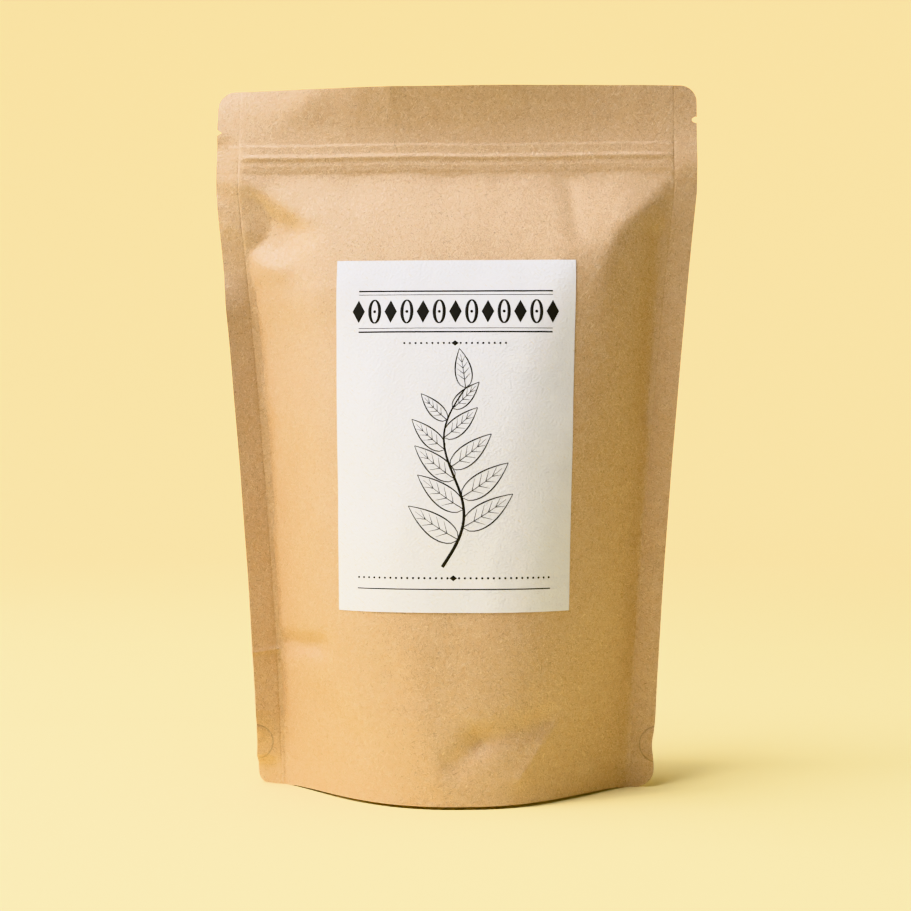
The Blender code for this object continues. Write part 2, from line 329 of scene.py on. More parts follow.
# %% The folds of each side
# Each fold: start (x, z), end (x, z), half width, height outwards, and how sharp it is,
# from 0 for a swell to 1 for an edge. All are in millimetres.
FRONT_FOLDS = [
    ((-106, 290), (-72, 270), 6.5, 2.4, 0.4),
    ((-105, 278), (-78, 266), 10.0, -4.6, 0.1),
    ((-98, 262), (-84, 256), 8.0, -2.2, 0.2),
    ((-98, 249), (-84, 247), 7.0, 2.4, 0.2),
    ((-86, 233), (-66, 231), 12.0, 1.2, 0.0),
    ((-99, 236), (-88, 20), 4.5, -2.8, 0.0),
    ((-93, 172), (-90, 128), 6.0, -2.0, 0.1),
    ((53, 291), (58, 262), 5.0, -0.7, 0.2),
    ((96, 262), (90, 178), 5.0, -2.0, 0.2),
    ((-84, 66), (-76, 68), 2.4, 1.4, 0.8),
    ((-82, 68), (-62, 70), 5.0, -4.4, 0.2),
    ((-65, 46), (-41, 29), 6.0, -0.8, 0.2),
    ((2, 20), (13, 30), 6.5, -2.0, 0.2),
    ((13, 30), (44, 38), 6.0, -1.8, 0.1),
    ((47, 36), (31, 13), 6.0, 2.2, 0.8),
    ((-12, 40), (-4, 18), 9.0, 0.7, 0.1),
    ((-85, 56), (-85, 38), 3.5, -1.3, 0.0),
]
BACK_FOLDS = [
    ((107, 290), (76, 266), 4.5, 1.8, 1.0),
    ((102, 272), (82, 258), 8.0, -4.0, 0.2),
    ((-60, 214), (-8, 207), 9.0, -1.4, 0.3),
    ((-8, 58), (38, 50), 9.0, -2.2, 0.3),
    ((-82, 100), (-78, 66), 8.0, -1.8, 0.2),
    ((60, 60), (84, 63), 3.0, 0.8, 1.0),
    ((-44, 291), (-52, 264), 6.0, -0.7, 0.2),
]
EDGE_FOLDS = [
    ((-101, 63.5), (-85, 65.0), 1.4, 0.9, 0.8),
    ((-108, 268), (-100, 264), 5.0, 0.9, 0.2),
    ((-114, 288), (-99, 287), 6.0, 1.0, 0.2),
    ((103, 260), (100, 236), 4.0, -0.5, 0.1),
]
FLAP_FOLDS = [
    ((-70, 326), (-99, 304), 9.0, 1.6, 0.2),
    ((-46, 334), (-48, 308), 10.0, 0.8, 0.1),
    ((-31, 334), (-29, 305), 7.0, 1.0, 0.8),
    ((40, 334), (48, 306), 9.0, -0.6, 0.2),
    ((88, 334), (84, 306), 10.0, 0.7, 0.2),
]


def fold_relief(x, z, folds):
    """The height that a list of folds adds at each point."""
    total = np.zeros(np.broadcast(x, z).shape)
    for (x0, z0), (x1, z1), width, height, sharp in folds:
        run = np.array([x1 - x0, z1 - z0]) * MM
        length = float(np.hypot(*run))
        along = ((x - x0 * MM) * run[0] + (z - z0 * MM) * run[1]) / length
        across = np.abs((x - x0 * MM) * run[1] - (z - z0 * MM) * run[0]) / length
        over = np.maximum(np.maximum(-along, along - length), 0.0)
        away = np.hypot(across, over) / (width * MM)
        swell = np.exp(-away * away)
        edge = np.exp(-1.6 * away)
        total += height * MM * ((1.0 - sharp) * swell + sharp * edge)
    return total


print("deepest front fold in mm:", min(fold[3] for fold in FRONT_FOLDS))

# %% [markdown]
# ## The slight unevenness of film
#
# Between its folds, film is never quite smooth: it has long low waves and small
# crumples. The waves are a sum of sines with seeded directions, and the crumples are
# more folds of the same kind, short and very low. A noise modifier could do it, but
# sums of sines stay smooth, as stiff laminated paper does.

# %% Waves and crumples
WAVE_COUNT = 18
WAVE_HEIGHT = 0.16 * MM
WAVE_LENGTHS_MM = (22.0, 60.0)
FRONT_WAVE_SEED = 5
BACK_WAVE_SEED = 6


def film_waves(x, z, seed):
    """Long low waves in random directions."""
    random = np.random.default_rng(seed)
    total = np.zeros(np.broadcast(x, z).shape)
    for _ in range(WAVE_COUNT):
        length = random.uniform(*WAVE_LENGTHS_MM) * MM
        angle = random.uniform(0.0, math.pi)
        phase = random.uniform(0.0, 2.0 * math.pi)
        travel = x * math.cos(angle) + z * math.sin(angle)
        total += np.sin(2.0 * math.pi * travel / length + phase)
    return WAVE_HEIGHT * total / math.sqrt(WAVE_COUNT / 2.0)


def crumples(seed, count):
    """Short low folds spread over a panel."""
    random = np.random.default_rng(seed)
    folds = []
    for _ in range(count):
        x, z = random.uniform(-92, 92), random.uniform(12, 285)
        angle = random.uniform(0.0, math.pi)
        length = random.uniform(6, 24)
        end = (x + length * math.cos(angle), z + length * math.sin(angle))
        height = random.uniform(0.05, 0.16) * random.choice([-1.0, 1.0])
        folds.append(((x, z), end, random.uniform(1.8, 4.0), height, random.uniform(0.2, 0.9)))
    return folds


FRONT_CRUMPLES = crumples(seed=11, count=70)
BACK_CRUMPLES = crumples(seed=23, count=70)
print("crumples:", len(FRONT_CRUMPLES), "in front and", len(BACK_CRUMPLES), "behind")

# %% [markdown]
# ## Zip, seals and punches
#
# The zip is a pair of plastic profiles on tapes inside the mouth. What shows is a flat
# band with a ridge along it, because the film is pressed over them. The side seals
# are pressed thinner than the films beside them, and near the foot of each seal a
# half-round punch holds the gusset's layers together. All of that is low relief, so
# it goes into the same mesh as steps in the height of its points.

# %% Relief of the zip, seals and punches
RIDGE_RELIEF = 0.62 * MM
TAPE_RELIEF = 0.30 * MM
SEAL_PRESS = 0.10 * MM
SEAL_GROOVE = 0.14 * MM
PUNCH_TILT = 0.10


def zip_relief(x, z):
    """The zip's tape and ridge, which are pressed nearly flat inside the seals."""
    up = z - ZIP_HEIGHT + 0.25 * MM * np.sin(x / (17.0 * MM))
    inside = ease(-2.0 * MM, 4.0 * MM, seal_inner(z) - np.abs(x))
    tape = ease(-TAPE_BELOW - 1.2 * MM, -TAPE_BELOW + 0.8 * MM, up)
    tape = tape * (1.0 - ease(TAPE_ABOVE - 0.5 * MM, TAPE_ABOVE + 0.5 * MM, up))
    ridge = np.exp(-((up / (1.2 * MM)) ** 2))
    lower_rib = 0.2 * np.exp(-(((up + 4.0 * MM) / (0.8 * MM)) ** 2))
    pressed = 0.45 + 0.55 * inside
    return pressed * (TAPE_RELIEF * tape + RIDGE_RELIEF * (ridge * inside + lower_rib))


def seal_relief(x, z):
    """How far the side seals are pressed together, most along their inner line."""
    past_seal = np.abs(x) - seal_inner(z)
    groove = np.exp(-(((past_seal - 0.6 * MM) / (0.3 * MM)) ** 2))
    groove = groove * (1.0 - 0.75 * ease(ZIP_HEIGHT, ZIP_HEIGHT + 12.0 * MM, z))
    return -SEAL_PRESS * ease(0.0, 0.6 * MM, past_seal) - SEAL_GROOVE * groove


def punch_lift(x, z):
    """How far the half-round punches bend the edge of the seals towards the front."""
    middle = side_half(z) + PUNCH_OUTSIDE
    to_punch = np.hypot(middle - np.abs(x), z - PUNCH_HEIGHT)
    punched = 1.0 - ease(PUNCH_RADIUS - 0.9 * MM, PUNCH_RADIUS, to_punch)
    return punched * PUNCH_TILT * np.maximum(np.abs(x) - middle + PUNCH_RADIUS, 0.0)


# %% [markdown]
# ## How the mouth, flap and seals lie
#
# Film that has been handled doesn't lie in one plane. The mouth leans forward and turns
# up at the zip, its flap is bent back on the left, and the side seals turn forwards
# and back by slopes that differ with the height. A lattice could bend the finished
# mesh too, but plain slopes can be read and set against the photograph.

# %% The lie of the mouth, the flap and the seals
MOUTH_FORWARD = 4.0 * MM
MOUTH_BACK = 3.0 * MM
FLAP_BOW = 5.5 * MM
FLAP_WAVE = 0.5 * MM
FLAP_LEAN = 7.0 * MM
LEFT_SEAL_BEND = 0.50
LEFT_FOOT_TURN = 0.45
LEFT_TOP_TURN = 0.22
RIGHT_SEAL_BEND = 0.10
RIGHT_TOP_TURN = 0.15
SEAL_RIPPLE = 0.35 * MM


def mouth_forward(z):
    """How far the whole pouch leans to the front towards its mouth."""
    return MOUTH_FORWARD * ease(200.0 * MM, 292.0 * MM, z)


def flap_forward(x, z):
    """How far the flap above the zip leans to the front, or back on its left."""
    bow = FLAP_BOW * (1.0 - (x / HALF_WIDTH) ** 2)
    wave = FLAP_WAVE * np.sin(2.0 * math.pi * x / (110.0 * MM))
    lean = FLAP_LEAN * (1.0 - ease(-100.0 * MM, -20.0 * MM, x))
    above_zip = np.clip((z - ZIP_HEIGHT) / (HEIGHT - ZIP_HEIGHT), 0.0, 1.0)
    return (bow + wave + fold_relief(x, z, FLAP_FOLDS) - lean) * above_zip ** 2


def seal_slope(x, z):
    """How steeply the seals are bent to the front, or back where it is negative."""
    bent = ease(15.0 * MM, 37.0 * MM, z) * (1.0 - ease(225.0 * MM, 250.0 * MM, z))
    left_foot = 1.0 - ease(8.0 * MM, 15.0 * MM, z)
    left_top = ease(274.0 * MM, 286.0 * MM, z) * (1.0 - ease(304.0 * MM, 314.0 * MM, z))
    right_top = ease(215.0 * MM, 240.0 * MM, z) * (1.0 - ease(285.0 * MM, 300.0 * MM, z))
    left = LEFT_SEAL_BEND * bent - LEFT_FOOT_TURN * left_foot - LEFT_TOP_TURN * left_top
    right = RIGHT_SEAL_BEND * bent - RIGHT_TOP_TURN * right_top
    return by_half(x, (left, right))


def middle_sheet(x, z):
    """The y of the middle between the films, which meet in the seals and the flap."""
    past_seal = np.maximum(np.abs(x) - seal_inner(z), 0.0)
    ripple = SEAL_RIPPLE * np.sin(z / (9.0 * MM)) * past_seal / SEAL_WIDTH
    seals = seal_slope(x, z) * past_seal + ripple + punch_lift(x, z)
    mouth = mouth_forward(z) - MOUTH_BACK * ease(289.0 * MM, 318.0 * MM, z)
    return -(mouth + flap_forward(x, z) + seals + fold_relief(x, z, EDGE_FOLDS))


# %% The outside of the front and of the back
def side_y(x, z, side, folds, crumple_list, seed):
    """The y of one side of the pouch: side is -1 in front and 1 behind."""
    room = ease(0.0, 9.0 * MM, np.minimum(seal_inner(z) - np.abs(x), below_zip(z)))
    relief = fold_relief(x, z, folds) + fold_relief(x, z, crumple_list)
    relief = relief + film_waves(x, z, seed)
    relief = np.where(relief > 0.0, room * relief, relief)
    bulge = np.maximum(panel_bulge(x, z) + relief, 0.0)
    out = SEAL_THICKNESS / 2.0 + bulge + zip_relief(x, z) + seal_relief(x, z)
    return middle_sheet(x, z) + side * out


def front_y(x, z):
    """The y of the front of the pouch."""
    return side_y(x, z, -1.0, FRONT_FOLDS, FRONT_CRUMPLES, FRONT_WAVE_SEED)


def back_y(x, z):
    """The y of the back of the pouch."""
    return side_y(x, z, 1.0, BACK_FOLDS, BACK_CRUMPLES, BACK_WAVE_SEED)


# %% [markdown]
# ## Kraft paper
#
# The pouch's outer layer is unbleached kraft paper, laminated to film. Long brown pine
# fibres lie in all directions, some darker and some paler than the sheet, with a few
# dark specks of bark. The sheet is a little cloudy where the pulp settled unevenly,
# and it is pressed smooth, so it shines more than bare paper. An image of paper would
# be easy, but nodes at real sizes never repeat or stretch.

# %% Make the kraft paper
def fibre_mask(material, places, angle, length_mm, width_mm, low, high):
    """Short streaks in one direction: noise stretched along the fibres, then cut."""
    turned = add_node(
        material,
        "ShaderNodeMapping",
        {
            "Vector": places,
            "Rotation": (0.0, math.radians(angle), 0.0),
            "Scale": (length_mm * MM, length_mm * MM, width_mm * MM),
        },
        vector_type="TEXTURE",
    )
    grain = add_node(
        material,
        "ShaderNodeTexNoise",
        {"Vector": turned.outputs[0], "Scale": 1.0, "Detail": 1.0, "Distortion": 1.1},
    )
    mask = add_node(
        material,
        "ShaderNodeMapRange",
        {0: grain.outputs["Fac"], 1: low, 2: high, 3: 0.0, 4: 1.0},
    )
    return mask.outputs[0]


def mixed(material, factor, first, second):
    """The output of a colour mix."""
    node = add_node(
        material, "ShaderNodeMix", {0: factor, 6: first, 7: second}, data_type="RGBA"
    )
    return node.outputs[2]


def noise_range(material, places, size_mm, low, high, detail=3.0):
    """Noise of one grain size, spread between two values."""
    grain = add_node(
        material,
        "ShaderNodeTexNoise",
        {"Vector": places, "Scale": per_mm(size_mm), "Detail": detail},
    )
    spread = add_node(
        material,
        "ShaderNodeMapRange",
        {0: grain.outputs["Fac"], 1: 0.3, 2: 0.7, 3: low, 4: high},
    )
    return spread.outputs[0]


def punch_shade_ring(material, places):
    """A mask of a thin ring round each punch, for painted shade along the punch's pressed edge."""
    parts = add_node(material, "ShaderNodeSeparateXYZ", {0: places})
    across = add_node(material, "ShaderNodeMath", {0: parts.outputs["X"]}, operation="ABSOLUTE")
    flat = add_node(
        material,
        "ShaderNodeCombineXYZ",
        {"X": across.outputs[0], "Z": parts.outputs["Z"]},
    )
    middle = (float(side_half(PUNCH_HEIGHT)) + PUNCH_OUTSIDE, 0.0, PUNCH_HEIGHT)
    away = add_node(
        material, "ShaderNodeVectorMath", {0: flat.outputs[0], 1: middle}, operation="DISTANCE"
    )
    off_ring = add_node(
        material,
        "ShaderNodeMath",
        {0: away.outputs["Value"], 1: PUNCH_RADIUS},
        operation="SUBTRACT",
    )
    off_ring = add_node(material, "ShaderNodeMath", {0: off_ring.outputs[0]}, operation="ABSOLUTE")
    ring = add_node(
        material,
        "ShaderNodeMapRange",
        {0: off_ring.outputs[0], 1: 0.1 * MM, 2: 0.5 * MM, 3: 0.55, 4: 0.0},
    )
    return ring.outputs[0]


def make_kraft():
    """Unbleached kraft paper over film: satin, warm brown, fibrous, with painted shade round the
    punches.
    """
    material, shader, places = new_material(
        "unbleached_kraft_paper", Specular_IOR_Level=1.0, IOR=1.7
    )
    cloud = noise_range(material, places, 26.0, 0.0, 1.0)
    mottle = noise_range(material, places, 2.4, 0.0, 1.0, detail=5.0)
    colour = mixed(material, cloud, linear("C09A70"), linear("C7A47B"))
    colour = mixed(material, mottle, colour, linear("BE9465"))
    raised = noise_range(material, places, 0.8, 0.0, 1.0, detail=4.0)
    for angle in (8.0, 62.0, 121.0):
        pale = fibre_mask(material, places, angle, 2.2, 0.36, 0.61, 0.70)
        dark = fibre_mask(material, places, angle + 33.0, 2.0, 0.30, 0.62, 0.72)
        colour = mixed(material, pale, colour, linear("D9BA8E"))
        colour = mixed(material, dark, colour, linear("9E7648"))
        raised = add_node(material, "ShaderNodeMath", {0: raised, 1: pale}).outputs[0]
    specks = add_node(
        material,
        "ShaderNodeTexVoronoi",
        {"Vector": places, "Scale": per_mm(7.0)},
    )
    speck = add_node(
        material,
        "ShaderNodeMapRange",
        {0: specks.outputs["Distance"], 1: 0.045, 2: 0.085, 3: 0.6, 4: 0.0},
    )
    colour = mixed(material, speck.outputs[0], colour, linear("8B6A3E"))
    # A darker ring round each punch is painted shade along the punch's pressed edge.
    colour = mixed(material, punch_shade_ring(material, places), colour, linear("7A5A34"))
    connect(material, colour, shader, "Base Color")
    rough = noise_range(material, places, 1.5, 0.46, 0.54)
    connect(material, rough, shader, "Roughness")
    bump = add_node(
        material,
        "ShaderNodeBump",
        {"Height": raised, "Strength": 0.8, "Distance": 0.14 * MM},
    )
    connect(material, bump.outputs[0], shader, "Normal")
    return material


kraft = make_kraft()
print("kraft nodes:", len(kraft.node_tree.nodes))

# %% [markdown]
# ## The pouch
#
# The pouch is one grid, extruded once so that it has a front and a back joined all
# round, and every point is then put in its place by the functions above. The rows
# are close together at the zip and in the round corners, where the form changes
# fast. Two separate films would be truer to life, but one closed skin has no gaps.

# %% Rows and columns of the pouch
def spaced(start, end, step):
    """Evenly spaced values from start up to, but not with, end."""
    count = max(int(round((end - start) / step)), 1)
    return [start + (end - start) * index / count for index in range(count)]


def arc_rows(radius, count):
    """The heights of rows round a quarter circle, from its tip."""
    return [radius * (1.0 - math.cos(0.5 * math.pi * row / count)) for row in range(count)]


# The fine rows are at the punches, at the crease across the left seal and at the zip.
ROW_STEP = 1.7 * MM
FINE_STEP = 0.6 * MM
CORNER_ROWS = 8
PANEL_COLUMNS = 128
row_list = arc_rows(BOTTOM_CORNER, CORNER_ROWS)
row_list += spaced(BOTTOM_CORNER, 30.0 * MM, FINE_STEP)
row_list += spaced(30.0 * MM, 60.0 * MM, ROW_STEP)
row_list += spaced(60.0 * MM, 68.0 * MM, FINE_STEP)
row_list += spaced(68.0 * MM, 290.0 * MM, ROW_STEP)
row_list += spaced(290.0 * MM, 309.0 * MM, FINE_STEP)
row_list += spaced(309.0 * MM, HEIGHT - TOP_CORNER, ROW_STEP)
row_list += [HEIGHT - rise for rise in arc_rows(TOP_CORNER, CORNER_ROWS)[::-1]]
row_z = np.array(row_list)
seal_steps = [step * MM for step in (0.2, 0.4, 0.6, 0.8, 1.0, 1.4, *np.linspace(2.0, 11.5, 16))]
seal_shares = np.array(seal_steps) / SEAL_WIDTH
print("rows:", len(row_z), "columns:", PANEL_COLUMNS + 2 * len(seal_shares))


def column_x(column, z):
    """The x of a grid column at a height: seal, panel, seal."""
    seals = len(seal_shares)
    share = 2.0 * (column - seals) / PANEL_COLUMNS - 1.0
    past = np.abs(column - seals - PANEL_COLUMNS / 2.0) - PANEL_COLUMNS / 2.0
    shares = np.concatenate([[0.0], seal_shares])
    in_seal = shares[np.clip(np.rint(past), 0, seals).astype(int)]
    inner = seal_inner(z)
    in_panel = np.clip(share, -1.0, 1.0) * inner
    side = np.sign(share)
    return in_panel + side * in_seal * (outline_half(z, side) - inner)


# %% [markdown]
# ## Under the pouch
#
# The gusset is a third film, folded up between the other two and welded to them along
# a curve that is low in the middle and high at the seals. The filling presses its
# belly flat on the table, inside the thin skirts. A cutter of the hollow's shape is
# taken away from the pouch, as is one for each tear notch beside the zip.

# %% The cutter for the gusset
WALL = 0.7 * MM
WELD_LOW = 7.0 * MM
GUSSET_HEIGHT = 60.0 * MM
GUSSET_HALF_LENGTH = 78.0 * MM
BELLY_HALF_LENGTH = 64.0 * MM
BELLY_HALF_DEPTH = 46.0 * MM
HEM_LIFT = 1.6 * MM
HEM_HALF_LENGTH = 84.0 * MM
UNDER_FLOOR = 1.0 * MM
SKIRT_STEPS = 16
GUSSET_STEPS = 14
CUTTER_COLUMNS = 110


def gusset_half_section(x, y_of_side, side):
    """The hollow under the gusset at each x, from outside a skirt to the middle."""
    share = np.abs(x) / float(seal_inner(0.0))
    along_hem = np.minimum(np.abs(x) / HEM_HALF_LENGTH, 1.0)
    hem = HEM_LIFT * (1.0 - along_hem ** 6) - 0.2 * UNDER_FLOOR
    weld = WELD_LOW + (GUSSET_HEIGHT - WELD_LOW) * share ** 4.5
    rise = ease(60.0 * MM, float(seal_inner(0.0)), np.abs(x))
    fold = -UNDER_FLOOR + (GUSSET_HEIGHT + UNDER_FLOOR) * rise
    belly = BELLY_HALF_DEPTH * np.sqrt(np.maximum(1.0 - (x / BELLY_HALF_LENGTH) ** 2, 0.0))
    section = [(y_of_side(x, 0.0 * x) + side * 4.0 * MM, hem)]
    for step in np.linspace(0.0, 1.0, SKIRT_STEPS + 1):
        z = hem + (weld - hem) * step
        section.append((y_of_side(x, np.maximum(z, 0.0)) - side * WALL, z))
    at_weld = section[-1][0]
    edge = side * np.maximum(np.minimum(belly, 0.8 * np.abs(at_weld)), 0.1 * np.abs(at_weld))
    for step in np.linspace(1.0, 0.0, GUSSET_STEPS)[1:]:
        section.append((edge + step * (at_weld - edge), fold + step ** 1.4 * (weld - fold)))
    section.append((0.5 * edge, fold))
    return section


def make_gusset_cutter():
    """The open hollow between the skirts, as one closed solid."""
    turn = np.linspace(-0.5 * math.pi, 0.5 * math.pi, CUTTER_COLUMNS + 1)
    cutter_x = GUSSET_HALF_LENGTH * np.sin(turn)
    in_front = gusset_half_section(cutter_x, front_y, -1.0)
    behind = gusset_half_section(cutter_x, back_y, 1.0)
    section = np.array(in_front + behind[::-1])

    def roof(column, row):
        return cutter_x[column], section[row, 0, column], section[row, 1, column]

    def floor(column, row):
        return cutter_x[column], section[row, 0, column], np.full(len(column), -5.0 * MM)

    return double_sheet(CUTTER_COLUMNS, len(section) - 1, roof, floor)


# %% Build the pouch and cut it
LEFT_NOTCH_HEIGHT = 313.4 * MM
RIGHT_NOTCH_HEIGHT = 317.7 * MM
NOTCH_HALF_HEIGHT = 1.5 * MM
NOTCH_DEPTH = 2.4 * MM


def cut_away(bm, cutter):
    """The solid of one bmesh with another taken away."""
    objects = []
    for name, source in (("uncut", bm), ("cutter", cutter)):
        mesh = bpy.data.meshes.new(name)
        source.to_mesh(mesh)
        source.free()
        objects.append(bpy.data.objects.new(name, mesh))
        bpy.context.scene.collection.objects.link(objects[-1])
    cut = objects[0].modifiers.new("cut", "BOOLEAN")
    cut.operation = "DIFFERENCE"
    cut.solver = "MANIFOLD"
    cut.object = objects[1]
    graph = bpy.context.evaluated_depsgraph_get()
    result = bmesh.new()
    result.from_object(objects[0], graph)
    for item in objects:
        mesh = item.data
        bpy.data.objects.remove(item)
        bpy.data.meshes.remove(mesh)
    return result


def notch_cutter(side, height, segments):
    """A small prism across the edge of a seal: 4 segments cut a V, many a round."""
    cutter = bmesh.new()
    bmesh.ops.create_cone(
        cutter, cap_ends=True, segments=segments, radius1=1.0, radius2=1.0, depth=30.0 * MM
    )
    for vert in cutter.verts:
        across, along, through = vert.co
        x = side * (HALF_WIDTH - NOTCH_DEPTH * along)
        vert.co = (x, through, height + NOTCH_HALF_HEIGHT * across)
    return turn_outwards(cutter)


def make_pouch():
    """The whole pouch: films, seals, zip, flap and the hollow under its gusset."""
    columns = PANEL_COLUMNS + 2 * len(seal_shares)

    def place(y_of_side):
        def points(column, row):
            z = row_z[row]
            x = column_x(column, z)
            return x, y_of_side(x, z), z
        return points

    bm = double_sheet(columns, len(row_z) - 1, place(front_y), place(back_y))
    bm = cut_away(bm, make_gusset_cutter())
    bm = cut_away(bm, notch_cutter(-1.0, LEFT_NOTCH_HEIGHT, 4))
    bm = cut_away(bm, notch_cutter(1.0, RIGHT_NOTCH_HEIGHT, 24))
    print("open edges:", sum(not edge.is_manifold for edge in bm.edges))
    return finish_piece("pouch_film", bm, kraft, replaced=["pouch"])


pouch = make_pouch()
pouch.data.set_sharp_from_angle(angle=SHARP_ANGLE)

# %% [markdown]
# ## The label
#
# The label is a sheet of uncoated white paper with glue on its back. It is flat
# before it is stuck on, so its points are laid out by walking equal steps along the
# pouch's surface, which keeps its true width where the panel curves away. A
# Shrinkwrap modifier would press it on too, but it would let the sheet stretch.

# %% Lay out the label
LABEL_WIDTH = 111.5 * MM
LABEL_LENGTH = 165.0 * MM
LABEL_TOP = 249.0 * MM
LABEL_MIDDLE = 1.3 * MM
LABEL_STEP = 1.0 * MM
OVER_CRUMPLES = 0.12 * MM
GLUE_GAP = 0.04 * MM
LABEL_THICKNESS = 0.22 * MM


def label_surface_y(x, z):
    """The front under the label: the stiff label evens out small crumples."""
    relief = fold_relief(x, z, FRONT_FOLDS) + film_waves(x, z, FRONT_WAVE_SEED)
    forward = panel_bulge(x, z) + relief + mouth_forward(z)
    return -(SEAL_THICKNESS / 2.0 + forward + OVER_CRUMPLES)


def walk_rows():
    """The heights of the label's rows, from its bottom to its top."""
    heights = [LABEL_TOP]
    rows = int(round(LABEL_LENGTH / LABEL_STEP))
    for _ in range(rows):
        z = heights[-1]
        rise = label_surface_y(0.0, z) - label_surface_y(0.0, z - LABEL_STEP)
        heights.append(z - LABEL_STEP / math.sqrt(1.0 + float(rise / LABEL_STEP) ** 2))
    return np.array(heights[::-1])


def walk_columns(row_heights):
    """The x of the label's columns in every row, from left to right."""
    half = int(round(0.5 * LABEL_WIDTH / LABEL_STEP))
    step = 0.5 * LABEL_WIDTH / half
    sides = []
    for direction in (-1.0, 1.0):
        x = np.full(len(row_heights), LABEL_MIDDLE)
        places = [x]
        for _ in range(half):
            ahead = label_surface_y(x + direction * step, row_heights)
            rise = ahead - label_surface_y(x, row_heights)
            x = x + direction * step / np.sqrt(1.0 + (rise / step) ** 2)
            places.append(x)
        sides.append(places)
    return np.array(sides[0][:0:-1] + sides[1]).T


label_z = walk_rows()
label_x = walk_columns(label_z)
print("label rows and columns:", label_x.shape, "bottom at z:", float(label_z[0]))

# %% [markdown]
# ## Label paper
#
# Uncoated white paper is warm and quite matt. Its tooth shows as fine grain under a
# light from the side, with slight clouds and a few pale fibres. Bump carries the
# tooth, because its real depth is a few hundredths of a millimetre.

# %% Make the label paper
def make_label_paper():
    """Uncoated white label paper."""
    material, shader, places = new_material("uncoated_white_paper", Specular_IOR_Level=0.3)
    cloud = noise_range(material, places, 9.0, 0.0, 1.0)
    colour = mixed(material, cloud, linear("D5D6E1"), linear("DADAE5"))
    strand = fibre_mask(material, places, 40.0, 2.4, 0.3, 0.62, 0.78)
    colour = mixed(material, strand, colour, linear("D8D1CC"))
    connect(material, colour, shader, "Base Color")
    rough = noise_range(material, places, 1.2, 0.72, 0.84)
    connect(material, rough, shader, "Roughness")
    tooth = noise_range(material, places, 1.1, 0.0, 1.0, detail=5.0)
    bump = add_node(
        material,
        "ShaderNodeBump",
        {"Height": tooth, "Strength": 0.8, "Distance": 0.16 * MM},
    )
    connect(material, bump.outputs[0], shader, "Normal")
    return material


label_paper = make_label_paper()


# %% Build the label
def make_label():
    """The label sheet, following the front panel."""
    rows, columns = label_x.shape

    def place(out):
        def points(column, row):
            x, z = label_x[row, column], label_z[row]
            return x, label_surface_y(x, z) - out, z
        return points

    top, bottom = place(GLUE_GAP + LABEL_THICKNESS), place(GLUE_GAP)
    bm = double_sheet(columns - 1, rows - 1, top, bottom)
    return finish_piece("label_sheet", bm, label_paper, replaced=["label"])


label = make_label()
label.data.set_sharp_from_angle(angle=SHARP_ANGLE)

# %% [markdown]
# ## The print on the label
#
# The label carries a plain botanical print in black: a leafy sprig as a line drawing,
# an ornament band above it, and rules and dots round both. Ink has almost no height,
# so it could be a mask in the label's material. Thin strips were chosen because their
# edges stay crisp at any distance, and because a drawing made of strokes is easy to
# change. Each stroke is laid out flat, in millimetres from the label's middle, and
# then carried to its place on the curved sheet.

# %% Strokes on the curved label
INK_GAP = 0.02 * MM
INK_THICKNESS = 0.02 * MM
THINNEST_MM = 0.03


def on_label(across_mm, up_mm, out):
    """The place of a flat label point on the curved label, this far out of it."""
    rows, columns = label_x.shape
    row = np.clip(up_mm * MM / LABEL_STEP + (rows - 1) / 2.0, 0.0, rows - 1.001)
    column = across_mm * MM / LABEL_WIDTH * (columns - 1) + (columns - 1) / 2.0
    column = np.clip(column, 0.0, columns - 1.001)
    low, left = row.astype(int), column.astype(int)
    down, right = row - low, column - left
    z = (1.0 - down) * label_z[low] + down * label_z[low + 1]
    lower = (1.0 - right) * label_x[low, left] + right * label_x[low, left + 1]
    upper = (1.0 - right) * label_x[low + 1, left] + right * label_x[low + 1, left + 1]
    x = (1.0 - down) * lower + down * upper
    return x, label_surface_y(x, z) - GLUE_GAP - LABEL_THICKNESS - out, z


def add_stroke(bm, across, up, half_width):
    """Adds a stroke along flat points, with a half width at each point, in mm."""
    along = np.hypot(np.gradient(across), np.gradient(up))
    normal = (-np.gradient(up) / along, np.gradient(across) / along)
    half = np.maximum(half_width * np.ones(len(across)), THINNEST_MM)
    rows = math.ceil(half.max())

    def place(out):
        def points(column, row):
            shift = (2.0 * row / rows - 1.0) * half[column]
            shifted_across = across[column] + shift * normal[0][column]
            shifted_up = up[column] + shift * normal[1][column]
            return on_label(shifted_across, shifted_up, out)
        return points

    top, bottom = place(INK_GAP + INK_THICKNESS), place(INK_GAP)
    add_double_sheet(bm, len(across) - 1, rows, top, bottom)


def add_line(bm, start, end, half_width, step_mm=2.0):
    """Adds a straight stroke from one flat point to another."""
    length = math.hypot(end[0] - start[0], end[1] - start[1])
    count = max(int(length / step_mm), 2) + 1
    across = np.linspace(start[0], end[0], count)
    add_stroke(bm, across, np.linspace(start[1], end[1], count), half_width)


def add_filled(bm, middle, half_length, half_height, outline):
    """Adds a filled shape whose half height at each share of its length is given."""
    share = np.linspace(-1.0, 1.0, 13)
    across = middle[0] + half_length * share
    add_stroke(bm, across, np.full(len(share), middle[1]), half_height * outline(share))


def diamond(share):
    """The outline of a diamond."""
    return 1.0 - np.abs(share)


def disc(share):
    """The outline of a disc."""
    return np.sqrt(np.maximum(1.0 - share * share, 0.0))


# %% Draw the sprig
LINE_HALF_MM = 0.30
VEIN_HALF_MM = 0.16
STEM_FOOT = (-5.0, -62.0)
STEM_TOP = (5.0, 20.0)
STEM_SWAY_MM = 7.0
LEAF_PAIRS = 5


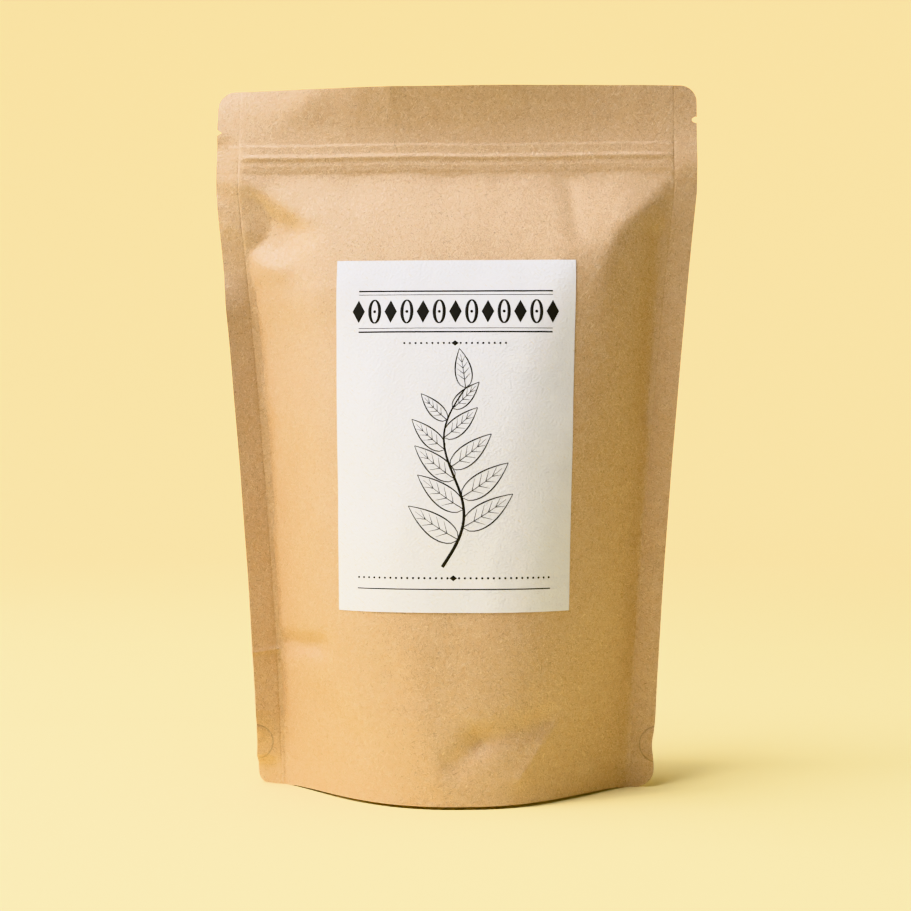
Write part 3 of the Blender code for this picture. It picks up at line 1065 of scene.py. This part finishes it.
def stem_point(share):
    """A point on the stem, which sways to one side and back."""
    across = STEM_FOOT[0] + (STEM_TOP[0] - STEM_FOOT[0]) * share
    sway = STEM_SWAY_MM * math.sin(2.0 * math.pi * share)
    return across + sway, STEM_FOOT[1] + (STEM_TOP[1] - STEM_FOOT[1]) * share


def add_leaf(bm, base, angle, length, half_width, droop):
    """Adds a leaf in outline: two edges that meet in a point, a midrib and veins."""
    share = np.linspace(0.0, 1.0, 15)
    ahead = (math.cos(angle), math.sin(angle))
    aside = (-ahead[1], ahead[0])
    swell = half_width * 2.88 * share ** 0.6 * (1.0 - share)
    bend = droop * length * share * share

    def on_leaf(along, off):
        """The flat point at a share of the leaf's length, this far off its line."""
        across = base[0] + length * along * ahead[0] + off * aside[0]
        return across, base[1] + length * along * ahead[1] + off * aside[1]

    pressure = 0.5 + 0.5 * np.sin(math.pi * share)
    for side in (-1.0, 1.0):
        across, up = on_leaf(share, bend + side * swell)
        add_stroke(bm, across, up, LINE_HALF_MM * pressure)
    across, up = on_leaf(share, bend)
    add_stroke(bm, across[:13], up[:13], VEIN_HALF_MM * (1.3 - share[:13]))
    for vein in (3, 5, 7, 9):
        tip = vein + 2
        for side in (-1.0, 1.0):
            start = on_leaf(share[vein], bend[vein])
            end = on_leaf(share[tip], bend[tip] + 0.78 * side * swell[tip])
            add_line(bm, start, end, VEIN_HALF_MM * np.linspace(1.0, 0.4, 3), 50.0)


def draw_sprig():
    """The stem with its pairs of leaves, smaller towards the top."""
    bm = bmesh.new()
    shares = np.linspace(0.0, 1.0, 40)
    across, up = np.array([stem_point(share) for share in shares]).T
    add_stroke(bm, across, up, 0.75 - 0.45 * shares)
    for pair in range(LEAF_PAIRS):
        for side in (-1.0, 1.0):
            share = (pair + 1.1 + 0.2 * side) / (LEAF_PAIRS + 1.0)
            base = stem_point(share)
            spread = math.radians(62.0 - 3.0 * pair)
            length = 29.0 - 1.2 * abs(pair - 1.5) - 2.2 * pair
            add_leaf(bm, base, 0.5 * math.pi - side * spread, length, 0.19 * length, side * 0.10)
    add_leaf(bm, stem_point(1.0), math.radians(96.0), 19.0, 3.8, 0.05)
    return turn_outwards(bm)


# %% Draw the band, the rules and the dots
# A rule is its height and half its width, and a row of dots its height and how many
# dots are on each side of its middle. All are in millimetres.
BAND_HALF_WIDTH = 45.0
BAND_UP = 57.0
BAND_PITCH = 7.5
MOTIF_HALF_HEIGHT = 5.6
RULES = ((67.0, 0.35), (65.2, 0.14), (48.8, 0.14), (47.0, 0.35), (-72.0, 0.25))
DOT_ROWS = ((41.5, 9), (-67.0, 17))
DOT_PITCH = 2.6


def draw_borders():
    """An ornament band between rules, and a rule with dots at the foot."""
    bm = bmesh.new()
    for up, half_width in RULES:
        add_line(bm, (-BAND_HALF_WIDTH, up), (BAND_HALF_WIDTH, up), half_width)
    turn = np.linspace(0.0, math.pi, 13)
    for step in range(-6, 7):
        across = step * BAND_PITCH
        if step % 2 == 0:
            add_filled(bm, (across, BAND_UP), 2.9, MOTIF_HALF_HEIGHT, diamond)
        else:
            for side in (-1.0, 1.0):
                bow = across + side * 2.3 * np.sin(turn)
                up = BAND_UP - MOTIF_HALF_HEIGHT * np.cos(turn)
                add_stroke(bm, bow, up, 0.3 + 0.45 * np.sin(turn))
            add_filled(bm, (across, BAND_UP), 0.7, 0.7, disc)
    for up, half_count in DOT_ROWS:
        for step in range(-half_count, half_count + 1):
            if step != 0:
                add_filled(bm, (step * DOT_PITCH, up), 0.5, 0.5, disc)
        add_filled(bm, (0.0, up), 1.7, 1.3, diamond)
    return turn_outwards(bm)


# %% Make the print
def make_ink():
    """Matt black ink, which soaks into the paper."""
    material, _, _ = new_material(
        "black_printing_ink", Base_Color=linear("1C1B1A"), Roughness=0.7, Specular_IOR_Level=0.3
    )
    return material


ink = make_ink()
finish_piece("printed_sprig", draw_sprig(), ink)
finish_piece("printed_borders", draw_borders(), ink)
print("sprig height in mm:", STEM_TOP[1] - STEM_FOOT[1])

# %% [markdown]
# ## The studio
#
# A seamless sweep of pale yellow paper is the floor and the wall in one, made as a
# profile spun full circle. Three large soft lights on the left model the folds: one
# high at the side, one high in front and one lower between them. A weak fill from the
# right keeps the shaded side open. One light alone would give the folds a harder look
# than the photograph has.

# %% Build the sweep
SWEEP_RADIUS = 2.6
SWEEP_BEND = 0.9
SWEEP_HEIGHT = 1.5


def make_background_paper():
    """Pale yellow seamless paper, duller behind the camera so that it lights little, and glowing
    more further back as painted light in place of lamps on the wall.
    """
    material, shader, places = new_material("pale_yellow_background_paper", Roughness=0.9)
    place = add_node(material, "ShaderNodeSeparateXYZ", {0: places})
    behind = add_node(
        material,
        "ShaderNodeMapRange",
        {0: place.outputs["Y"], 1: -0.26, 2: -0.6, 3: 0.0, 4: 1.0},
    )
    colour = mixed(material, behind.outputs[0], linear("FFF0B3"), linear("9C988F"))
    connect(material, colour, shader, "Base Color")
    # The wall glows more the further back it stands: painted light, standing in for lamps that
    # light the wall.
    glow = add_node(
        material,
        "ShaderNodeMapRange",
        {0: place.outputs["Y"], 1: 0.2, 2: 1.6, 3: 0.0, 4: 0.52},
    )
    shader.inputs["Emission Color"].default_value = linear("FBE6B0")
    connect(material, glow.outputs[0], shader, "Emission Strength")
    return material


def make_sweep():
    """The floor and the wall round it, from a profile spun full circle."""
    bm = bmesh.new()
    flat = SWEEP_RADIUS - SWEEP_BEND
    profile = [(0.0, 0.0), (0.5 * flat, 0.0), (flat, 0.0)]
    for step in range(1, 13):
        angle = 0.5 * math.pi * step / 12
        out = flat + SWEEP_BEND * math.sin(angle)
        profile.append((out, SWEEP_BEND * (1.0 - math.cos(angle))))
    profile.append((SWEEP_RADIUS, SWEEP_HEIGHT))
    verts = [bm.verts.new((x, 0.0, z)) for x, z in profile]
    edges = [bm.edges.new(pair) for pair in zip(verts, verts[1:])]
    bmesh.ops.spin(
        bm,
        geom=verts + edges,
        angle=2.0 * math.pi,
        steps=96,
        axis=(0.0, 0.0, 1.0),
        cent=(0.0, 0.0, 0.0),
        use_merge=True,
    )
    bmesh.ops.remove_doubles(bm, verts=bm.verts, dist=0.0001)
    bm.normal_update()
    bmesh.ops.recalc_face_normals(bm, faces=bm.faces)
    if bm.faces[0].normal.z < 0.0:
        bmesh.ops.reverse_faces(bm, faces=bm.faces)
    mesh = bpy.data.meshes.new("sweep")
    bm.to_mesh(mesh)
    bm.free()
    mesh.shade_smooth()
    mesh.materials.append(make_background_paper())
    sweep = bpy.data.objects.new("sweep", mesh)
    bpy.context.scene.collection.objects.link(sweep)


make_sweep()


# %% Light the studio
LIGHT_DISTANCE = 2.0
LIGHT_TARGET = Vector((0.0, 0.0, 0.15))
AIR_STRENGTH = 0.01


def add_softbox(name, azimuth, elevation, size, power):
    """A square softbox that faces the pouch. Azimuth 0 is in front and 90 to the right."""
    across, up = math.radians(azimuth), math.radians(elevation)
    away = (math.cos(up) * math.sin(across), -math.cos(up) * math.cos(across), math.sin(up))
    direction = Vector(away)
    data = bpy.data.lights.new(name, "AREA")
    data.energy = power
    data.size = size
    softbox = bpy.data.objects.new(name, data)
    softbox.rotation_euler = direction.to_track_quat("Z", "Y").to_euler()
    softbox.location = LIGHT_TARGET + LIGHT_DISTANCE * direction
    bpy.context.scene.collection.objects.link(softbox)


add_softbox("key", azimuth=-40, elevation=60, size=0.9, power=29.0)
add_softbox("side_softbox", azimuth=-73, elevation=27, size=0.9, power=26.0)
add_softbox("weak_fill", azimuth=25, elevation=12, size=1.4, power=4.6)
add_softbox("overhead_softbox", azimuth=-90, elevation=65, size=1.4, power=37.0)
world = bpy.data.worlds.new("studio_air")
world.use_nodes = True
air = world.node_tree.nodes["Background"]
air.inputs["Color"].default_value = linear("FFFFFF")
air.inputs["Strength"].default_value = AIR_STRENGTH
bpy.context.scene.world = world
bpy.context.scene.view_settings.view_transform = "Khronos PBR Neutral"
